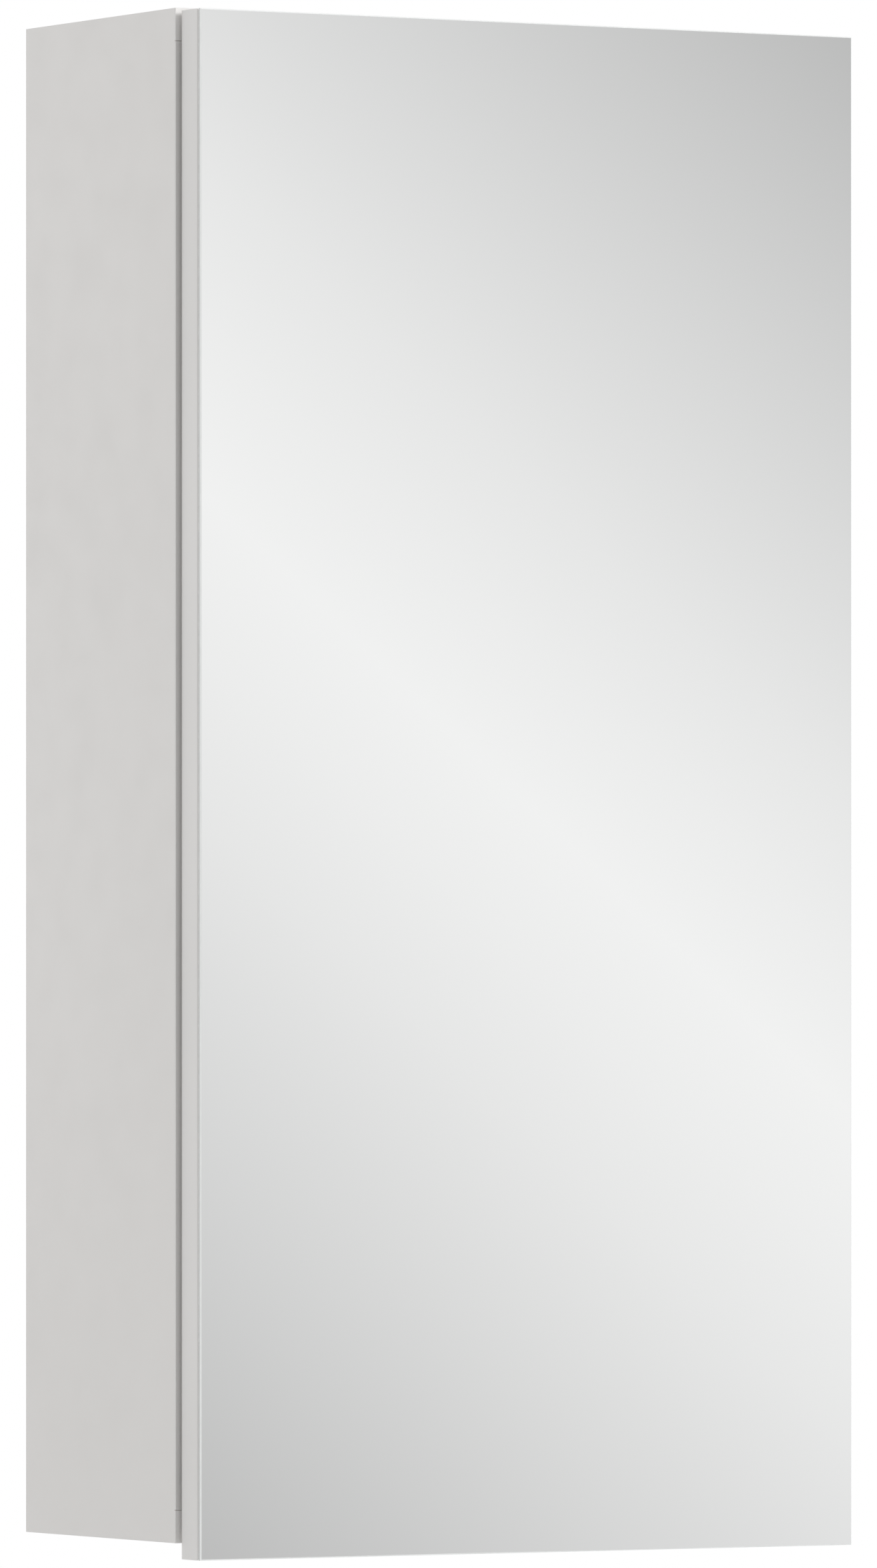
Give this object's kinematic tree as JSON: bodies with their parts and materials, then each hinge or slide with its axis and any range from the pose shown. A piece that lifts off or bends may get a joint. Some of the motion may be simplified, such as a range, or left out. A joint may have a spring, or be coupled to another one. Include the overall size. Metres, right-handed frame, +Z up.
{
  "type": "mirror cabinet",
  "caption": "Wall-hung cabinet with a full-size mirror door on concealed cup hinges, glass shelves inside and adjustable hangers",
  "frame": {"origin": "in the wall plane, at the middle of the carcass's width and at its underside", "axes": "+X to the right as seen from the front, +Y towards the wall, +Z up"},
  "size_m": [0.35, 0.1671, 0.7072],
  "materials": {
    "white_board": "smooth white melamine, satin",
    "white_edging": "white edging, satin",
    "back_board": "white lacquered hardboard",
    "beech": "plain beech, fluted",
    "white_plastic": "moulded, fine grain",
    "nickelled_steel": "nickel plated",
    "zinc_steel": "bright zinc plated",
    "die_cast_zinc": "raw die-cast zinc",
    "shelf_glass": "clear float glass with ground edges",
    "clear_rubber": "clear soft bumper",
    "black_tape": "black foam tape",
    "mirror": "silvered float glass with a ground arris"
  },
  "bodies": {
    "carcass": {"side_panel_left": "white_board", "side_panel_right": "white_board", "top_panel": "white_board", "bottom_panel": "white_board", "back_panel": "back_board", "front_edging_top": "white_edging", "front_edging_bottom": "white_edging", "front_edging_left": "white_edging", "front_edging_right": "white_edging", "corner_dowels": "beech", "cam_bolts": "zinc_steel", "cam_locks": "die_cast_zinc", "cam_caps": "white_plastic", "shelf_lower": "shelf_glass", "shelf_upper": "shelf_glass", "shelf_pins": "zinc_steel", "hanger_body_left": "white_plastic", "hanger_body_right": "white_plastic", "hanger_cover_left": "white_plastic", "hanger_cover_right": "white_plastic", "hanger_screws": "zinc_steel", "hinge_plate_upper": "nickelled_steel", "hinge_plate_lower": "nickelled_steel", "hinge_plate_screws": "zinc_steel", "hinge_arm_upper": "nickelled_steel", "hinge_arm_lower": "nickelled_steel", "hinge_arm_screws": "zinc_steel", "hinge_arm_pins": "nickelled_steel"},
    "hook_left": {"hanger_hook_left": "zinc_steel"},
    "hook_right": {"hanger_hook_right": "zinc_steel"},
    "hinge_outer_links": {"hinge_outer_link_upper": "nickelled_steel", "hinge_outer_link_lower": "nickelled_steel"},
    "hinge_inner_links": {"hinge_inner_link_upper": "nickelled_steel", "hinge_inner_link_lower": "nickelled_steel"},
    "door": {"hinge_cup_upper": "nickelled_steel", "hinge_cup_lower": "nickelled_steel", "hinge_cup_pins": "nickelled_steel", "hinge_cup_screws": "zinc_steel", "door_board": "white_board", "door_edging_top": "white_edging", "door_edging_bottom": "white_edging", "door_edging_left": "white_edging", "door_edging_right": "white_edging", "bumper_pads": "clear_rubber", "mirror_tape": "black_tape", "mirror_glass": "mirror"}
  },
  "joints": [
    {"name": "door_swing", "type": "hinge", "parent": "hinge_outer_links", "child": "door", "pos_m": [0.161, -0.1511, 0.34565], "axis": [0, 0, 1], "range_deg": [0, 129.2]},
    {"name": "outer_link_swing", "type": "hinge", "parent": "carcass", "child": "hinge_outer_links", "pos_m": [0.1395, -0.14605, 0.34565], "axis": [0, 0, 1], "range_deg": [-34.3, 0]},
    {"name": "inner_link_swing", "type": "hinge", "parent": "door", "child": "hinge_inner_links", "pos_m": [0.161, -0.1565, 0.34565], "axis": [0, 0, 1], "range_deg": [-107.9, 0]},
    {"name": "hook_left_height", "type": "slide", "parent": "carcass", "child": "hook_left", "axis": [0, 0, 1], "range_m": [-0.004, 0.004]},
    {"name": "hook_right_height", "type": "slide", "parent": "carcass", "child": "hook_right", "axis": [0, 0, 1], "range_m": [-0.004, 0.004]}
  ],
  "couplings": [
    {"joint": "outer_link_swing", "follows": "door_swing", "ratio": -0.26471},
    {"joint": "inner_link_swing", "follows": "door_swing", "ratio": -0.83456}
  ]
}
